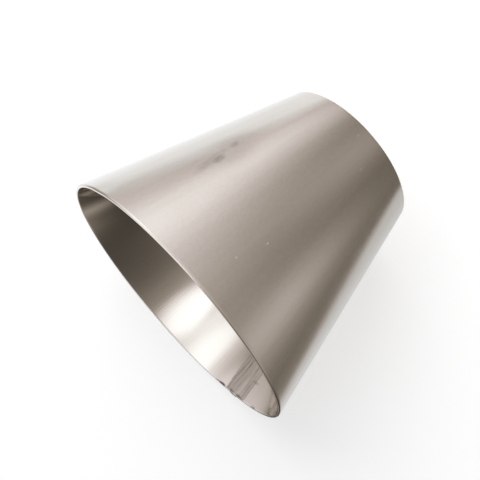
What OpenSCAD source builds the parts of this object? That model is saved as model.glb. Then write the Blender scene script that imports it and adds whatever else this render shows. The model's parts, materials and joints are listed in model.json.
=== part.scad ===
// Butt-weld eccentric pipe reducer, rolled from sheet and closed by one longitudinal weld.
// The part lies on its steep side, which is how it comes to rest on a table: +X runs along that
// side from the large end to the small end, +Z is up, and the origin is the centre of the large
// end's face. The straight side is on top and slopes down towards the small end.

/* [Large end] */
// Outside diameter of the large end
large_od = 219.1; // [168.3:0.1:273]

/* [Small end] */
// Outside diameter of the small end
small_od = 114.3; // [88.9:0.1:141.3]

/* [Body] */
// Length from end face to end face
face_to_face = 152; // [127:1:203]
// Thickness of the sheet
wall = 2.8; // [1.6:0.1:4]
// Depth of the narrow flat along the steep side, where the part rests
rest_flat = 0.1; // [0.05:0.01:0.2]

/* [Seam] */
// Angle of the seam round the body, from the steep side towards -Y
seam_angle = 52; // [20:1:160]
// Width of the weld between the two sheet edges
root_gap = 4; // [2:0.1:6]
// Width of the weld's cap on the outside
cap_width = 9; // [7:0.1:14]
// Height of the weld's cap above the outside
cap_height = 0.6; // [0.3:0.1:1.2]

/* [Hidden] */

$fn = 180;
// How far the small end's centre stands off the large end's, so that one side runs straight
end_offset = (large_od - small_od) / 2;
// Angle between the steep side and the flow
steep_angle = atan(2 * end_offset / face_to_face);
// How far a cone is built past each end before it is trimmed square
overrun = 5;
// A span that is wider than the whole part, for trimming blocks
clear_span = 2 * (large_od + face_to_face);

// Radius of the cone's outside at a distance x from the large end
function outside_radius(x) = large_od / 2 - end_offset * x / face_to_face;

// Lays a right cone's axis over, so that each section rises in proportion to x
module lean() {
    multmatrix([
        [1, 0, 0, 0],
        [0, 1, 0, 0],
        [end_offset / face_to_face, 0, 1, 0],
        [0, 0, 0, 1],
    ]) children();
}

// The cone that lies a distance grow outside the sheet's outer surface, longer than the part
module long_cone(grow) {
    translate([-overrun, 0, 0]) rotate([0, 90, 0])
        cylinder(
            h = face_to_face + 2 * overrun,
            r1 = outside_radius(-overrun) + grow,
            r2 = outside_radius(face_to_face + overrun) + grow
        );
}

// Half of a slab through the axis, from the axis downwards
module lower_slab(width) {
    translate([-overrun - 1, -width / 2, -clear_span])
        cube([face_to_face + 2 * overrun + 2, width, clear_span]);
}

// Dresses the lowest line of an upright right cone to a narrow flat
module dress_flat() {
    intersection() {
        children();
        translate([0, 0, -large_od / 2 + rest_flat / cos(steep_angle)])
            rotate([0, -atan(end_offset / face_to_face), 0])
                translate([-clear_span, -clear_span / 2, 0])
                    cube([2 * clear_span, clear_span, clear_span]);
    }
}

// Cuts both ends off square, at x = 0 and at x = face_to_face
module trim_ends() {
    intersection() {
        children();
        translate([0, -clear_span / 2, -clear_span / 2])
            cube([face_to_face, clear_span, clear_span]);
    }
}

// Turns a right cone with its seam at the bottom, leans it over, trims it and lays it down
module fitted_body() {
    rotate([0, steep_angle, 0]) trim_ends() lean() dress_flat() rotate([-seam_angle, 0, 0]) children();
}

// Rolled sheet, open along the seam and at both ends
module cone_shell() {
    color([0.65, 0.6, 0.55]) fitted_body() difference() {
        long_cone(0);
        long_cone(-wall);
        lower_slab(root_gap);
    }
}

// Longitudinal weld, flush inside, with a low cap outside
module seam_weld() {
    color([0.55, 0.51, 0.48]) fitted_body() {
        intersection() {
            difference() {
                long_cone(0);
                long_cone(-wall);
            }
            lower_slab(root_gap);
        }
        intersection() {
            difference() {
                long_cone(cap_height);
                long_cone(0);
            }
            lower_slab(cap_width);
        }
    }
}

cone_shell();
seam_weld();
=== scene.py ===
"""A butt-weld eccentric pipe reducer of satin titanium sheet, lying on its steep side on a pale floor."""
import json
import math

import bmesh
import bpy
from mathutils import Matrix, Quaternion, Vector


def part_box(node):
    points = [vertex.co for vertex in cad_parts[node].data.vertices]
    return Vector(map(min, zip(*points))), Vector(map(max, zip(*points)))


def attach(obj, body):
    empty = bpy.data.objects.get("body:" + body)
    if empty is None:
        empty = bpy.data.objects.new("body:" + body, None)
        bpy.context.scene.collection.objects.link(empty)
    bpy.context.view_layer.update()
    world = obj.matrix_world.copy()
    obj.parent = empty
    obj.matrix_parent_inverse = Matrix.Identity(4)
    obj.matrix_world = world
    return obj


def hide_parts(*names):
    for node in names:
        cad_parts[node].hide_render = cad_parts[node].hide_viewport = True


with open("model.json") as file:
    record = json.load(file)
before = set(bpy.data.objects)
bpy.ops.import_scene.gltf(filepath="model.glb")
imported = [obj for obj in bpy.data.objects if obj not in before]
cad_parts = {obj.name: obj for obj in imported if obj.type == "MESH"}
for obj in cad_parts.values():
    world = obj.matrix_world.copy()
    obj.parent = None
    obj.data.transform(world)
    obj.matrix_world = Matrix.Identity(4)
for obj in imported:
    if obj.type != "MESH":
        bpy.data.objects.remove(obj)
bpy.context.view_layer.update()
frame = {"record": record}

# ---------------------------------------------------------------- sizes, in metres, from the frame

MM = 0.001
MOUNTS = {m["name"]: m for m in frame["record"]["mounts"]}
SMALL_CENTRE = Vector(MOUNTS["small_end"]["pos_m"])
FLOW = Vector(MOUNTS["small_end"]["axis"]).normalized()
# Square to the flow, away from the steep side
LIFT = Vector((-FLOW.z, 0, FLOW.x))
LENGTH = SMALL_CENTRE.dot(FLOW)
# How far the small end is lifted, which is also how much smaller its radius is
OFFSET = SMALL_CENTRE.dot(LIFT)
LARGE_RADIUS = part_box("cone_shell")[1].y
FLOOR_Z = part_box("cone_shell")[0].z
WALL = 2.8 * MM
# Radii of the rounded corners: the mouth's outer one, and the other three
OUTER_EDGE = 1.6 * MM
INNER_EDGE = 0.4 * MM
# The seam's angle from the steep side towards -Y, and the gap that the weld fills
SEAM_ANGLE = math.radians(52)
SEAM_GAP = 4 * MM
# The weld's cap, and how far its toes lie under the sheet's outside
CAP_WIDTH = 9 * MM
CAP_HEIGHT = 0.5 * MM
CAP_SUNK = 0.06 * MM
# The cap's ripples: spacing, how far their ends curve towards the mouth, and part of the cap's height
RIPPLE_PITCH = 2.6 * MM
RIPPLE_BOW = 1.6 * MM
RIPPLE_DEPTH = 0.28
# The band that was ground over the seam inside, its middle's distance from the seam, and its wander
GROUND_WIDTH = 24 * MM
GROUND_OFFSET = 4 * MM
GROUND_WANDER = 4 * MM

# ---------------------------------------------------------------- the camera

CAMERA_LENS = 64.85
CAMERA_SENSOR = 36
CAMERA_DISTANCE = 602.8 * MM
CAMERA_NEAREST = 10 * MM
CAMERA_AIM = Vector((70.35, 4.1, 0)) * MM
CAMERA_AZIMUTH = math.radians(90.6)
CAMERA_ELEVATION = math.radians(71.27)
CAMERA_ROLL = math.radians(-131.4)


def direction(azimuth, elevation):
    """A unit vector towards a place round the object. Azimuth 0 is -Y, and a quarter turn is +X."""
    return Vector((
        math.sin(azimuth) * math.cos(elevation),
        -math.cos(azimuth) * math.cos(elevation),
        math.sin(elevation),
    ))


def make_camera():
    data = bpy.data.cameras.new("camera")
    data.lens = CAMERA_LENS
    data.sensor_width = CAMERA_SENSOR
    data.clip_start = CAMERA_NEAREST
    camera = bpy.data.objects.new("camera", data)
    back = direction(CAMERA_AZIMUTH, CAMERA_ELEVATION)
    camera.location = CAMERA_AIM + back * CAMERA_DISTANCE
    camera.rotation_mode = "QUATERNION"
    level = (-back).to_track_quat("-Z", "Y")
    camera.rotation_quaternion = level @ Quaternion((0, 0, 1), CAMERA_ROLL)
    bpy.context.scene.collection.objects.link(camera)
    bpy.context.scene.camera = camera


# ---------------------------------------------------------------- shader nodes


def add_node(tree, kind, values=None, **settings):
    """Adds a node. values maps an input's name or number to a value or to another node's output."""
    made = tree.nodes.new("ShaderNode" + kind)
    for name, setting in settings.items():
        setattr(made, name, setting)
    for name, value in (values or {}).items():
        if isinstance(value, bpy.types.NodeSocket):
            tree.links.new(value, made.inputs[name])
        else:
            made.inputs[name].default_value = value
    return made


def maths(tree, operation, first, second=0.0, third=0.0):
    return add_node(tree, "Math", {0: first, 1: second, 2: third}, operation=operation).outputs[0]


def weighted(tree, value, weight, base):
    """value times weight, plus base."""
    return maths(tree, "MULTIPLY_ADD", value, weight, base)


def ramp(tree, value, low, high, out_low=0.0, out_high=1.0):
    """Maps value from low..high to out_low..out_high, smoothly and held at both ends."""
    made = add_node(tree, "MapRange", {
        "Value": value, "From Min": low, "From Max": high, "To Min": out_low, "To Max": out_high,
    }, interpolation_type="SMOOTHSTEP")
    return made.outputs["Result"]


def noise(tree, vector, scale=1.0, detail=2.0, rough=0.5, stretch=(1, 1, 1)):
    """Noise from 0 to 1 round 0.5. A larger stretch makes it finer along that axis."""
    placed = add_node(tree, "VectorMath", {0: vector, 1: stretch}, operation="MULTIPLY")
    made = add_node(tree, "TexNoise", {
        "Vector": placed.outputs[0], "Scale": scale, "Detail": detail, "Roughness": rough,
    })
    return made.outputs[0]


def spot(tree, place, centre, radius, stretch):
    """1 round a centre, falling to 0 at radius from it. A larger stretch narrows it along that axis."""
    away = add_node(tree, "VectorMath", {0: place, 1: centre}, operation="SUBTRACT")
    shaped = add_node(tree, "VectorMath", {0: away.outputs[0], 1: stretch}, operation="MULTIPLY")
    far = add_node(tree, "VectorMath", {0: shaped.outputs[0]}, operation="LENGTH")
    return ramp(tree, far.outputs["Value"], 0.3 * radius, radius, 1.0, 0.0)


def tinted(tree, factor, colour, other):
    """Mixes from colour to other by factor."""
    made = add_node(tree, "Mix", {"Factor": factor}, data_type="RGBA")
    for slot, value in ((6, colour), (7, other)):
        if isinstance(value, bpy.types.NodeSocket):
            tree.links.new(value, made.inputs[slot])
        else:
            made.inputs[slot].default_value = (*value, 1)
    return made.outputs[2]


def scaled(tree, colour, factor):
    """A colour times a number from another node."""
    return add_node(tree, "VectorMath", {0: colour, "Scale": factor}, operation="SCALE").outputs[0]


def split(tree, vector):
    return add_node(tree, "SeparateXYZ", {0: vector}).outputs


def body_place(tree):
    """The place in the object's own axes, in metres."""
    return add_node(tree, "TexCoord").outputs["Object"]


def turn_place(tree):
    """The place on a piece as a part of the turn from the seam and a part of the length."""
    return add_node(tree, "UVMap", uv_map="turn").outputs[0]


def seam_place(tree):
    """The place on a piece as metres across from the seam and metres along from the mouth."""
    return add_node(tree, "UVMap", uv_map="seam").outputs[0]


def new_metal(name):
    """A metallic material, with its node tree and its shader."""
    material = bpy.data.materials.new(name)
    material.use_nodes = True
    tree = material.node_tree
    bsdf = tree.nodes["Principled BSDF"]
    bsdf.inputs["Metallic"].default_value = 1
    return material, tree, bsdf


def set_bump(tree, bsdf, height, distance):
    bump = add_node(tree, "Bump", {"Height": height, "Distance": distance, "Strength": 1.0})
    tree.links.new(bump.outputs[0], bsdf.inputs["Normal"])


# ---------------------------------------------------------------- the metals

TITANIUM = (0.58, 0.53, 0.48)
BEAD = (0.50, 0.44, 0.39)
STRAW = (0.56, 0.47, 0.37)
GROUND_DARK = (0.26, 0.225, 0.195)
GROUND_LIGHT = (0.53, 0.47, 0.425)
STAIN = (0.07, 0.055, 0.055)
# Brightness beside the metal's colour: the least, and what each noise adds to it
OUTSIDE_TONE, OUTSIDE_STREAK_TONE, OUTSIDE_MOTTLE_TONE = 0.90, 0.10, 0.10
INSIDE_TONE, INSIDE_STREAK_TONE = 0.93, 0.14
EDGE_TONE, EDGE_STREAK_TONE = 0.90, 0.20
# The bead's is the middle of its ripples, what they add or take away, and what the mottle adds
BEAD_TONE, BEAD_RIPPLE_TONE, BEAD_MOTTLE_TONE = 0.86, 0.09, 0.2
# Roughness: the least, and what each noise adds to it
OUTSIDE_ROUGHNESS, OUTSIDE_CLOUD_ROUGHNESS, OUTSIDE_MOTTLE_ROUGHNESS = 0.13, 0.10, 0.08
INSIDE_ROUGHNESS, INSIDE_STREAK_ROUGHNESS = 0.01, 0.12
GROUND_ROUGHNESS = 0.32
EDGE_ROUGHNESS = 0.22
BEAD_ROUGHNESS = 0.27
# How deep each metal's bumps are, and the weight of the noise that adds the weaker ones
OUTSIDE_BUMP, OUTSIDE_GRAIN_BUMP = 0.035 * MM, 0.25
INSIDE_BUMP, INSIDE_STREAK_BUMP = 0.05 * MM, 0.35
BEAD_BUMP = 0.03 * MM
# How many spots each noise has to the metre, about
CLOUD_SCALE = 45
MOTTLE_SCALE = 420
GRAIN_SCALE = 900
BEAD_SCALE = 600
STAIN_SCALE = 700
# How fine the streaks are round the body and along it
OUTSIDE_STREAKS = (90, 1.6, 1)
INSIDE_STREAKS = (560, 4.0, 1)
EDGE_STREAKS = (400, 4, 1)
# How fine the ground band's two kinds of stripe are across it and along it, and its edges' wander
GROUND_FINE = (900, 70, 1)
GROUND_BROAD = (260, 22, 1)
GROUND_BENDS = (0, 90, 1)
# The band fades over this much inside and outside each of its edges
GROUND_FADE_INSIDE, GROUND_FADE_OUTSIDE = 0.8 * MM, 0.6 * MM
# The stripes turn from dark to light metal between these values of their noise
GROUND_STRIPES = (0.30, 0.58)
# Along both sides of the band the stripes are darker: how wide that is where it is full and where it
# ends, and how much, on the side towards the steep side and on the other
GROUND_NEAR_SIDE = (6 * MM, 8 * MM, 0.12)
GROUND_FAR_SIDE = (4 * MM, 6 * MM, 0.05)
# The straw tint beside the cap: where it is full and where it ends, from the seam, and its strength
STRAW_FULL = 5 * MM
STRAW_GONE = 11 * MM
STRAW_STRENGTH = 0.75
# Burnt spots near the mouth: place across the seam and along the flow, size, and how dark
STAINS = [
    (-12.5 * MM, 0.6 * MM, 2.3 * MM, 1.0),
    (-17.5 * MM, 0.1 * MM, 2.0 * MM, 0.7),
    (-1.0 * MM, 1.2 * MM, 1.8 * MM, 0.7),
    (8.0 * MM, 1.0 * MM, 2.2 * MM, 0.8),
    (13.0 * MM, 0.6 * MM, 1.6 * MM, 0.5),
    (32.0 * MM, 0.3 * MM, 2.2 * MM, 0.7),
    (15.8 * MM, 16.0 * MM, 2.6 * MM, 0.3),
]
# The burnt spots are wide across the seam and short along the flow
STAIN_STRETCH = (0.42, 1.7, 1.0)
# Glints painted on the outside as brighter spots, which are painted highlights, and darker spots: place in
# the frame, size, how wide it is along Y beside that size, and how bright it is beside the metal round it
PAINTED_GLINTS_AND_DARK_SPOTS = [
    (Vector((103.2, -8.4, 61.4)) * MM, 1.7 * MM, 0.45, 1.6),
    (Vector((86.2, -2.3, 73.6)) * MM, 0.9 * MM, 1.0, 1.35),
    (Vector((168.9, -12.1, 15.2)) * MM, 2.0 * MM, 0.4, 1.2),
    (Vector((181.0, 5.3, 8.0)) * MM, 1.6 * MM, 0.5, 1.2),
    (Vector((108.4, 52.5, 36.6)) * MM, 6.5 * MM, 0.5, 0.72),
    (Vector((119.5, 54.1, 25.4)) * MM, 5.0 * MM, 0.6, 0.78),
    (Vector((103.0, 55.0, 38.0)) * MM, 19.0 * MM, 0.2, 0.84),
]


def painted_glints_and_spots(tree, tone, place):
    """Paints glints on the outside as brighter spots, which are painted highlights, and darkens other spots.
    """
    broken = ramp(tree, noise(tree, place, GRAIN_SCALE), 0.25, 0.55, 0.35, 1.0)
    for centre, radius, width, factor in PAINTED_GLINTS_AND_DARK_SPOTS:
        here = spot(tree, place, centre, radius, stretch=(1.0, 1 / width, 1.0))
        here = maths(tree, "MULTIPLY", here, broken)
        tone = maths(tree, "MULTIPLY", tone, weighted(tree, here, factor - 1, 1.0))
    return tone


def outside_metal():
    """Pickled satin sheet: soft streaks along the body, a fine mottle, painted glints, darker spots and a
    straw tint.
    """
    material, tree, bsdf = new_metal("satin_titanium_outside")
    place = body_place(tree)
    streaks = noise(tree, turn_place(tree), detail=4, rough=0.6, stretch=OUTSIDE_STREAKS)
    mottle = noise(tree, place, MOTTLE_SCALE, detail=3, rough=0.6)
    tone = weighted(tree, streaks, OUTSIDE_STREAK_TONE, OUTSIDE_TONE)
    tone = weighted(tree, mottle, OUTSIDE_MOTTLE_TONE, tone)
    # Painted highlights: the brighter spots in the colour stand for glints, and the darker spots only darken
    # it
    tone = painted_glints_and_spots(tree, tone, place)
    across = maths(tree, "ABSOLUTE", split(tree, seam_place(tree))[0])
    beside = ramp(tree, across, STRAW_FULL, STRAW_GONE, STRAW_STRENGTH, 0.0)
    colour = tinted(tree, beside, TITANIUM, STRAW)
    tree.links.new(scaled(tree, colour, tone), bsdf.inputs["Base Color"])
    rough = weighted(tree, noise(tree, place, CLOUD_SCALE), OUTSIDE_CLOUD_ROUGHNESS, OUTSIDE_ROUGHNESS)
    rough = weighted(tree, mottle, OUTSIDE_MOTTLE_ROUGHNESS, rough)
    tree.links.new(rough, bsdf.inputs["Roughness"])
    grain = noise(tree, place, GRAIN_SCALE)
    set_bump(tree, bsdf, weighted(tree, grain, OUTSIDE_GRAIN_BUMP, mottle), OUTSIDE_BUMP)
    return material


def ground_band(tree, seam):
    """The dressed band along the seam: how much of it is here, and its stripes along the flow."""
    across = maths(tree, "SUBTRACT", split(tree, seam)[0], GROUND_OFFSET)
    wander = noise(tree, seam, stretch=GROUND_BENDS)
    across = weighted(tree, maths(tree, "SUBTRACT", wander, 0.5), GROUND_WANDER, across)
    half = GROUND_WIDTH / 2
    full, gone = half - GROUND_FADE_INSIDE, half + GROUND_FADE_OUTSIDE
    band = ramp(tree, maths(tree, "ABSOLUTE", across), full, gone, 1.0, 0.0)
    fine = noise(tree, seam, detail=4, rough=0.75, stretch=GROUND_FINE)
    broad = noise(tree, seam, stretch=GROUND_BROAD)
    stripes = weighted(tree, broad, 0.5, maths(tree, "MULTIPLY", fine, 0.5))
    full, gone, darker = GROUND_NEAR_SIDE
    near = ramp(tree, across, full - half, gone - half, darker, 0.0)
    full, gone, darker = GROUND_FAR_SIDE
    far = ramp(tree, across, half - gone, half - full, 0.0, darker)
    return band, maths(tree, "SUBTRACT", stripes, maths(tree, "ADD", near, far))


def stained(tree, colour, seam):
    """Colours the spots that the weld burnt near the mouth."""
    total = 0.0
    for across, along, radius, depth in STAINS:
        here = spot(tree, seam, (across, along, 0), radius, stretch=STAIN_STRETCH)
        total = weighted(tree, here, depth, total)
    broken = noise(tree, seam, STAIN_SCALE, detail=3, rough=0.7)
    total = maths(tree, "MULTIPLY", total, ramp(tree, broken, 0.25, 0.6, 0.5, 1.0))
    return tinted(tree, maths(tree, "MINIMUM", total, 1.0), colour, STAIN)


def inside_metal():
    """The inside: smoother, drawn along the flow, and ground in a band over the seam."""
    material, tree, bsdf = new_metal("drawn_titanium_inside")
    seam = seam_place(tree)
    streaks = noise(tree, turn_place(tree), detail=5, rough=0.7, stretch=INSIDE_STREAKS)
    band, stripes = ground_band(tree, seam)
    plain = scaled(tree, TITANIUM, weighted(tree, streaks, INSIDE_STREAK_TONE, INSIDE_TONE))
    dressed = tinted(tree, ramp(tree, stripes, *GROUND_STRIPES), GROUND_DARK, GROUND_LIGHT)
    colour = stained(tree, tinted(tree, band, plain, dressed), seam)
    tree.links.new(colour, bsdf.inputs["Base Color"])
    smooth = weighted(tree, streaks, INSIDE_STREAK_ROUGHNESS, INSIDE_ROUGHNESS)
    rough = add_node(tree, "Mix", {"Factor": band, "A": smooth, "B": GROUND_ROUGHNESS})
    tree.links.new(rough.outputs[0], bsdf.inputs["Roughness"])
    grooves = maths(tree, "MULTIPLY", band, stripes)
    set_bump(tree, bsdf, weighted(tree, streaks, INSIDE_STREAK_BUMP, grooves), INSIDE_BUMP)
    return material


def edge_metal():
    """The cut edges of the sheet, machined square and lightly broken."""
    material, tree, bsdf = new_metal("cut_edge")
    turned = noise(tree, turn_place(tree), detail=3, rough=0.6, stretch=EDGE_STREAKS)
    plain = scaled(tree, TITANIUM, weighted(tree, turned, EDGE_STREAK_TONE, EDGE_TONE))
    tree.links.new(stained(tree, plain, seam_place(tree)), bsdf.inputs["Base Color"])
    bsdf.inputs["Roughness"].default_value = EDGE_ROUGHNESS
    return material


def weld_metal():
    """The weld's cap: a shade darker than the sheet, rippled in tone, with a straw tint along its toes."""
    material, tree, bsdf = new_metal("weld_bead")
    across, along, _ = split(tree, seam_place(tree))
    side = maths(tree, "DIVIDE", maths(tree, "ABSOLUTE", across), CAP_WIDTH / 2)
    toe = ramp(tree, side, 0.5, 1.0)
    bowed = weighted(tree, maths(tree, "MULTIPLY", side, side), RIPPLE_BOW, along)
    ripple = maths(tree, "COSINE", maths(tree, "MULTIPLY", bowed, math.tau / RIPPLE_PITCH))
    mottle = noise(tree, body_place(tree), BEAD_SCALE)
    tone = weighted(tree, ripple, BEAD_RIPPLE_TONE, BEAD_TONE)
    tone = weighted(tree, mottle, BEAD_MOTTLE_TONE, tone)
    tree.links.new(scaled(tree, tinted(tree, toe, BEAD, STRAW), tone), bsdf.inputs["Base Color"])
    bsdf.inputs["Roughness"].default_value = BEAD_ROUGHNESS
    set_bump(tree, bsdf, mottle, BEAD_BUMP)
    return material


# ---------------------------------------------------------------- the body's shape

# Hollows in the sheet: angle from the steep side, place along the flow, half-widths, and depth
HOLLOWS = [
    (math.radians(44), 0, math.radians(8), 26 * MM, 1.1 * MM),
    (math.radians(-125), 0, math.radians(5), 10 * MM, 0.5 * MM),
    (math.radians(-140), 80 * MM, math.radians(9), 15 * MM, 0.8 * MM),
]
# Long shallow waves that rolling leaves: waves round the body, twist towards the mouth, and height
WAVES = [
    (3, 2.2, 0.06 * MM),
    (7, -3.0, 0.04 * MM),
    (13, 5.0, 0.02 * MM),
    (29, 1.5, 0.008 * MM),
    (47, -2.0, 0.004 * MM),
]
# The material slots of both pieces
OUTSIDE, INSIDE, EDGE = 0, 1, 2
# How finely the wall is divided: its rounded corners, its cut edges, and its length
CORNER_STEPS = 6
EDGE_STEPS = 3
LENGTH_STEPS = 72
# The row of faces beside each rounded corner is this long
CORNER_SUPPORT = 0.8 * MM
# The columns of faces round the body, and the part of the turn beside the seam where they are closer
BODY_COLUMNS = 400
SEAM_COLUMNS = 40
SEAM_PART = 0.022
# How finely the weld is divided: its length, its cap, and its root
BEAD_STEPS = 460
CAP_STEPS = 28
ROOT_STEPS = 12


def radius_at(along):
    return LARGE_RADIUS - OFFSET * along / LENGTH


def sheet_wave(angle, along):
    """How far the rolled sheet stands off a true cone, in metres; never outside it."""
    near = 1 - along / LENGTH
    wave = 0
    for count, twist, height in WAVES:
        wave += height * (math.cos(count * angle + twist * near) - 1)
    for centre, place, width, length, depth in HOLLOWS:
        aside = math.remainder(angle - centre, math.tau) / width
        wave -= depth * math.exp(-aside * aside - ((along - place) / length) ** 2)
    return wave


def body_point(angle, along, depth):
    """A point in the wall: angle from the steep side towards -Y, along the flow, depth below the outside."""
    rise = OFFSET * along / LENGTH
    radius = radius_at(along) - depth + sheet_wave(angle, along)
    up = rise - radius * math.cos(angle)
    point = FLOW * along + LIFT * up + Vector((0, -radius * math.sin(angle), 0))
    # The steep side is dressed to a narrow flat, where the part rests
    point.z = max(point.z, FLOOR_Z)
    return point


def run(first, last, count):
    """Evenly spaced numbers from first to last, with count steps between them."""
    return [first + (last - first) * i / count for i in range(count + 1)]


def quarter(along, depth, radius, start):
    """The points between the ends of a rounded corner's quarter turn, in (along, depth, material)."""
    turns = [math.radians(start + 90 * i / CORNER_STEPS) for i in range(1, CORNER_STEPS)]
    return [(along + radius * math.cos(t), depth + radius * math.sin(t), EDGE) for t in turns]


def wall_outline():
    """The wall's cut outline as (along, depth, material), once round from the outside's small end."""
    far = LENGTH - INNER_EDGE
    bottom = WALL - INNER_EDGE
    outer = [OUTER_EDGE, *run(OUTER_EDGE + CORNER_SUPPORT, far - CORNER_SUPPORT, LENGTH_STEPS), far]
    inner = [INNER_EDGE, *run(INNER_EDGE + CORNER_SUPPORT, far - CORNER_SUPPORT, LENGTH_STEPS), far]
    return [
        *[(a, 0, OUTSIDE) for a in reversed(outer)],
        *reversed(quarter(OUTER_EDGE, OUTER_EDGE, OUTER_EDGE, 180)),
        *[(0, d, EDGE) for d in run(OUTER_EDGE, bottom, EDGE_STEPS)],
        *reversed(quarter(INNER_EDGE, bottom, INNER_EDGE, 90)),
        *[(a, WALL, INSIDE) for a in inner],
        *reversed(quarter(far, bottom, INNER_EDGE, 0)),
        *[(LENGTH, d, EDGE) for d in run(bottom, INNER_EDGE, EDGE_STEPS)],
        *reversed(quarter(far, INNER_EDGE, INNER_EDGE, 270)),
    ]


def column_fractions():
    """Where the shell's columns stand round the body, from 0 to 1, closer together beside the seam."""
    return [
        *run(0, SEAM_PART, SEAM_COLUMNS)[:-1],
        *run(SEAM_PART, 1 - SEAM_PART, BODY_COLUMNS),
        *run(1 - SEAM_PART, 1, SEAM_COLUMNS)[1:],
    ]


def new_mesh():
    """An empty mesh, with the maps that turn_place and seam_place read."""
    bm = bmesh.new()
    return bm, (bm.loops.layers.uv.new("turn"), bm.loops.layers.uv.new("seam"))


def add_face(bm, maps, corners, part):
    """Adds a smooth face. A corner is (vertex, angle from the seam, along, metres across the seam)."""
    face = bm.faces.new([corner[0] for corner in corners])
    face.smooth = True
    face.material_index = part
    turn_map, seam_map = maps
    for loop, (_, angle, along, across) in zip(face.loops, corners):
        loop[turn_map].uv = (angle / math.tau, along / LENGTH)
        loop[seam_map].uv = (across, along)


def close_ends(bm, first, last):
    """Closes a tube with a flat face over its first ring of corners and one over its last."""
    for ring in (first, list(reversed(last))):
        bm.faces.new([corner[0] for corner in ring]).material_index = EDGE
    bmesh.ops.recalc_face_normals(bm, faces=bm.faces)


def new_object(name, bm, materials=()):
    mesh = bpy.data.meshes.new(name)
    bm.to_mesh(mesh)
    bm.free()
    made = bpy.data.objects.new(name, mesh)
    bpy.context.scene.collection.objects.link(made)
    for material in materials:
        made.data.materials.append(material)
    return made


def shell_column(bm, outline, fraction):
    """One column of the sheet's corners as (vertex, angle from the seam, along, radius)."""
    column = []
    for along, depth, _ in outline:
        radius = radius_at(along) - depth
        gap = math.asin(SEAM_GAP / 2 / radius)
        angle = gap + (math.tau - 2 * gap) * fraction
        column.append((bm.verts.new(body_point(SEAM_ANGLE + angle, along, depth)), angle, along, radius))
    return column


def make_shell(materials):
    """The rolled sheet, open along the seam, with rounded cut edges."""
    outline = wall_outline()
    bm, maps = new_mesh()
    fractions = column_fractions()
    columns = [shell_column(bm, outline, fraction) for fraction in fractions]
    for fraction, one, two in zip(fractions, columns, columns[1:]):
        # Past the far side of the body, the distance across is measured back to the seam
        back = math.tau if fraction > 0.5 else 0
        for j, (_, _, part) in enumerate(outline):
            k = (j + 1) % len(outline)
            corners = [(v, t, along, (t - back) * r) for v, t, along, r in (one[j], one[k], two[k], two[j])]
            add_face(bm, maps, corners, part if part == outline[k][2] else EDGE)
    close_ends(bm, columns[0], columns[-1])
    return new_object("rolled_sheet", bm, materials)


def cap_profile(across, along):
    """The cap's height over the sheet: rounded across, with the crescent ripples of a weld run."""
    side = across / (CAP_WIDTH / 2)
    crescent = 0.5 + 0.5 * math.cos(math.tau * (along + RIPPLE_BOW * side * side) / RIPPLE_PITCH)
    body = (1 - side * side) ** 0.8 if abs(side) < 1 else 0
    return CAP_HEIGHT * body * (1 - RIPPLE_DEPTH + RIPPLE_DEPTH * crescent ** 0.7)


def bead_outline(along):
    """The weld's outline at one place as (across, depth, material): cap, side, flush root and side."""
    half_gap = SEAM_GAP / 2
    swell = 1 + CAP_SUNK / CAP_HEIGHT
    top = run(-CAP_WIDTH / 2, CAP_WIDTH / 2, CAP_STEPS)
    return [
        *[(a, CAP_SUNK - cap_profile(a, along) * swell, OUTSIDE) for a in top],
        (half_gap, CAP_SUNK, EDGE),
        *[(a, WALL, INSIDE) for a in run(half_gap, -half_gap, ROOT_STEPS)],
        (-half_gap, CAP_SUNK, EDGE),
    ]


def bead_row(bm, along):
    """One row of the weld's corners as (vertex, angle from the seam, along, across)."""
    row = []
    for across, depth, _ in bead_outline(along):
        angle = math.asin(across / (radius_at(along) - depth))
        row.append((bm.verts.new(body_point(SEAM_ANGLE + angle, along, depth)), angle, along, across))
    return row


def make_weld(materials):
    """The longitudinal weld: rippled cap outside, metal through the gap, and a flush root."""
    bm, maps = new_mesh()
    rows = [bead_row(bm, along) for along in run(0, LENGTH, BEAD_STEPS)]
    parts = [part for _, _, part in bead_outline(0)]
    for one, two in zip(rows, rows[1:]):
        for j, part in enumerate(parts):
            k = (j + 1) % len(parts)
            add_face(bm, maps, (one[j], two[j], two[k], one[k]), part if part == parts[k] else EDGE)
    close_ends(bm, rows[0], rows[-1])
    return new_object("seam_bead", bm, materials)


# ---------------------------------------------------------------- floor and light

BACKDROP_RADIUS = 2.4
FLOOR_COLOUR = (0.88, 0.88, 0.88, 1)
FLOOR_ROUGHNESS = 0.9
FLOOR_SPECULAR = 0.1
FLOOR_GLOW = 0.55
WHITE = (1, 1, 1, 1)
WORLD_STRENGTH = 0.28
LAMP_AZIMUTH = math.radians(147)
LAMP_ELEVATION = math.radians(36)
LAMP_DISTANCE = 3.4
LAMP_SIZE = 2.7
LAMP_POWER = 62
# The reflected light's colour where it is dim, where the tent or the table is bright, and where it glares
DIM_TINT = (1.11, 1.01, 0.88)
BRIGHT_TINT = (1.01, 0.98, 0.995)
TABLE_TINT = (0.96, 1.0, 1.04)
GLARE_TINT = (0.98, 1.03, 1.08)
# The strengths over which the light turns from dim to bright, and from bright to glare
DIM_TO_BRIGHT = (0.15, 1.0)
BRIGHT_TO_GLARE = (0.9, 1.7)
TENT_CENTRE = Vector((60 * MM, 0, FLOOR_Z))
TENT_RADIUS = 380 * MM
TENT_BASE = 0.028
# Windows on the tent: azimuth from +X towards +Y, elevation, half-widths where full and where gone,
# and strength
TENT_WINDOWS = [
    (170.5, 52, 0.3, 10.3, 0.93),
    (147, 30.5, 0.3, 16.4, 0.73),
    (150, 38, 1, 14.5, 0.52),
]
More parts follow.
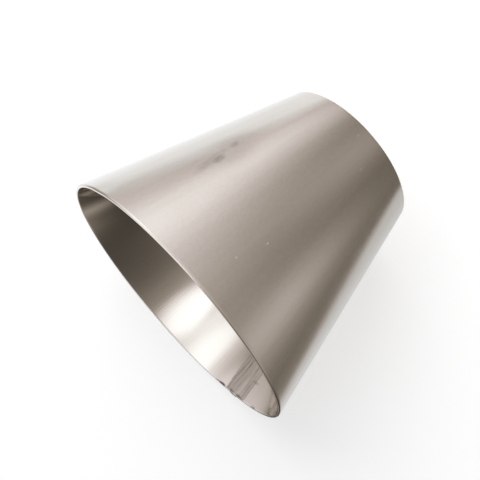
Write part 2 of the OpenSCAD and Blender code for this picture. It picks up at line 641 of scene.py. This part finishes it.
# Soft patches of light on the tent: azimuth from +X towards +Y, elevation, sharpness, strength
TENT_PATCHES = [
    (158.5, 50, 33, 0.92),
    (161, 2.5, 8.5, 1.26),
    (165, -18, 30, 0.4),
    (176, 22, 36, 1.0),
    (140, 70, 18, 0.6),
    (-165, 65, 20, 0.15),
    (65, 39, 8.5, 1.3),
    (82, -5, 16, 0.75),
    (54, -4, 70, 0.9),
    (43, 17, 27, 0.6),
    (-3, 33, 30, 0.3),
    (22, 76, 8.5, 0.6),
    (-69, 33, 4, 0.35),
    (-59, 33, 40, 0.35),
    (-155, 5, 74, 0.5),
    (-162, -10, 74, 0.4),
    (-147, -11, 150, 0.3),
    (109, 48, 30, 1.7),
    (103, 22, 30, 0.7),
    (-105, 48, 20, 0.4),
]
# How far the reflected table lies under the floor
TABLE_DROP = 0.05 * MM
# The table's glow, and its changes from -Y to +Y: where each begins, where it ends, and its size
TABLE_BASE = 0.26
TABLE_CHANGES = [
    (-275 * MM, -190 * MM, 0.62),
    (-100 * MM, 80 * MM, 0.42),
    (200 * MM, 420 * MM, -0.40),
]
# In front of the mouth the table has a gap, because whoever holds the camera shades it there. The
# gap reaches from GAP_END towards -X, and from GAP_SIDE towards -Y. The rest ends at TABLE_END
GAP_END = -66 * MM
GAP_SIDE = 112 * MM
TABLE_END = -135 * MM
# The shade beside the gap: its strength, where it is full and where it ends beyond GAP_END, and how
# far inside GAP_SIDE it begins to fade
SHADE_STRENGTH = 0.88
SHADE_FULL = 10 * MM
SHADE_GONE = 45 * MM
SHADE_SIDE = 40 * MM


def seen_only_by(made, ray):
    """Hides a staged object from every kind of ray but one."""
    for kind in ("camera", "diffuse", "glossy", "transmission", "shadow"):
        setattr(made, "visible_" + kind, kind == ray)


def new_dome(name, radius, centre):
    bpy.ops.mesh.primitive_uv_sphere_add(segments=64, ring_count=32, radius=radius, location=centre)
    dome = bpy.context.object
    dome.name = name
    return dome


def new_glow(made):
    """Gives an object a material of its own, and returns the material's empty node tree."""
    material = bpy.data.materials.new(made.name)
    material.use_nodes = True
    material.node_tree.nodes.clear()
    made.data.materials.append(material)
    return material.node_tree


def finish_glow(tree, colour, strength):
    glow = add_node(tree, "Emission", {"Color": colour, "Strength": strength})
    add_node(tree, "OutputMaterial", {"Surface": glow.outputs[0]})


def room_colour(tree, strength, bright_tint):
    """The colour of reflected light: warm where it is dim, bright_tint where bright, cool where it glares."""
    colour = tinted(tree, ramp(tree, strength, *DIM_TO_BRIGHT), DIM_TINT, bright_tint)
    return tinted(tree, ramp(tree, strength, *BRIGHT_TO_GLARE), colour, GLARE_TINT)


def make_floor():
    """The plain floor. The metal reflects the table in its place."""
    bpy.ops.mesh.primitive_plane_add(size=2 * BACKDROP_RADIUS, location=(0, 0, FLOOR_Z))
    floor = bpy.context.object
    floor.name = "floor"
    material = bpy.data.materials.new("floor")
    material.use_nodes = True
    bsdf = material.node_tree.nodes["Principled BSDF"]
    bsdf.inputs["Base Color"].default_value = FLOOR_COLOUR
    bsdf.inputs["Roughness"].default_value = FLOOR_ROUGHNESS
    bsdf.inputs["Specular IOR Level"].default_value = FLOOR_SPECULAR
    bsdf.inputs["Emission Color"].default_value = WHITE
    bsdf.inputs["Emission Strength"].default_value = FLOOR_GLOW
    floor.visible_glossy = False
    floor.data.materials.append(material)


def make_backdrop():
    """A plain white dome far behind the object, which only the camera sees."""
    dome = new_dome("backdrop", BACKDROP_RADIUS, (0, 0, 0))
    seen_only_by(dome, "camera")
    finish_glow(new_glow(dome), WHITE, 1.0)


def towards_place(tree, unit, azimuth, elevation):
    """The cosine of the angle between unit and a place on the tent."""
    towards = direction(math.radians(90 + azimuth), math.radians(elevation))
    return add_node(tree, "VectorMath", {0: unit, 1: towards}, operation="DOT_PRODUCT").outputs["Value"]


def make_tent():
    """A light tent over the object, which only its reflections show."""
    tent = new_dome("light_tent", TENT_RADIUS, TENT_CENTRE)
    seen_only_by(tent, "glossy")
    tree = new_glow(tent)
    unit = add_node(tree, "VectorMath", {0: body_place(tree)}, operation="NORMALIZE").outputs[0]
    total = TENT_BASE
    for azimuth, elevation, full, gone, strength in TENT_WINDOWS:
        toward = towards_place(tree, unit, azimuth, elevation)
        edges = math.cos(math.radians(gone)), math.cos(math.radians(full))
        total = maths(tree, "ADD", ramp(tree, toward, *edges, 0, strength), total)
    for azimuth, elevation, sharpness, strength in TENT_PATCHES:
        toward = towards_place(tree, unit, azimuth, elevation)
        fall = weighted(tree, toward, sharpness, -sharpness)
        total = weighted(tree, maths(tree, "EXPONENT", fall), strength, total)
    finish_glow(tree, room_colour(tree, total, BRIGHT_TINT), total)


def gap_shade(tree, along, across):
    """How much of the table's light is lost in the shade beside its gap."""
    shade = ramp(tree, along, GAP_END + SHADE_FULL, GAP_END + SHADE_GONE, SHADE_STRENGTH, 0.0)
    aside = maths(tree, "ABSOLUTE", across)
    return maths(tree, "MULTIPLY", shade, ramp(tree, aside, GAP_SIDE - SHADE_SIDE, GAP_SIDE, 1.0, 0.0))


def make_table():
    """The white table as the metal reflects it: dim at its -Y end, and brightest by the part's +Y side."""
    bm = bmesh.new()
    far, side = TENT_CENTRE.x + TENT_RADIUS, TENT_RADIUS
    corners = [
        (GAP_END, -side),
        (far, -side),
        (far, side),
        (TABLE_END, side),
        (TABLE_END, GAP_SIDE),
        (GAP_END, GAP_SIDE),
    ]
    bm.faces.new([bm.verts.new((x, y, FLOOR_Z - TABLE_DROP)) for x, y in corners])
    table = new_object("reflected_table", bm)
    seen_only_by(table, "glossy")
    tree = new_glow(table)
    along, across, _ = split(tree, body_place(tree))
    total = TABLE_BASE
    for begins, ends, change in TABLE_CHANGES:
        total = maths(tree, "ADD", ramp(tree, across, begins, ends, 0, change), total)
    lit = maths(tree, "SUBTRACT", 1.0, gap_shade(tree, along, across))
    total = maths(tree, "MULTIPLY", total, lit)
    finish_glow(tree, room_colour(tree, total, TABLE_TINT), total)


def make_lamp():
    """A soft lamp for the floor. It shows in no reflection, because the tent stands for it there."""
    data = bpy.data.lights.new("window", "AREA")
    data.shape = "SQUARE"
    data.size = LAMP_SIZE
    data.energy = LAMP_POWER
    light = bpy.data.objects.new("window", data)
    towards = direction(LAMP_AZIMUTH, LAMP_ELEVATION)
    light.location = CAMERA_AIM + towards * LAMP_DISTANCE
    light.rotation_mode = "QUATERNION"
    light.rotation_quaternion = (-towards).to_track_quat("-Z", "Y")
    light.visible_glossy = False
    light.visible_camera = False
    bpy.context.scene.collection.objects.link(light)


def make_world():
    world = bpy.data.worlds.new("world")
    bpy.context.scene.world = world
    world.use_nodes = True
    background = world.node_tree.nodes["Background"]
    background.inputs["Color"].default_value = WHITE
    background.inputs["Strength"].default_value = WORLD_STRENGTH
    bpy.context.scene.view_settings.view_transform = "Standard"


# ---------------------------------------------------------------- build

make_camera()
outside, inside, edge, weld = outside_metal(), inside_metal(), edge_metal(), weld_metal()

sheet = make_shell([outside, inside, edge])
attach(sheet, "root")
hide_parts("cone_shell")

# The weld has a metal of its own outside, and the sheet's metals at its root and its ends
bead = make_weld([weld, inside, edge])
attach(bead, "root")
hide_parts("seam_weld")

make_floor()
make_backdrop()
make_tent()
make_table()
make_world()
make_lamp()
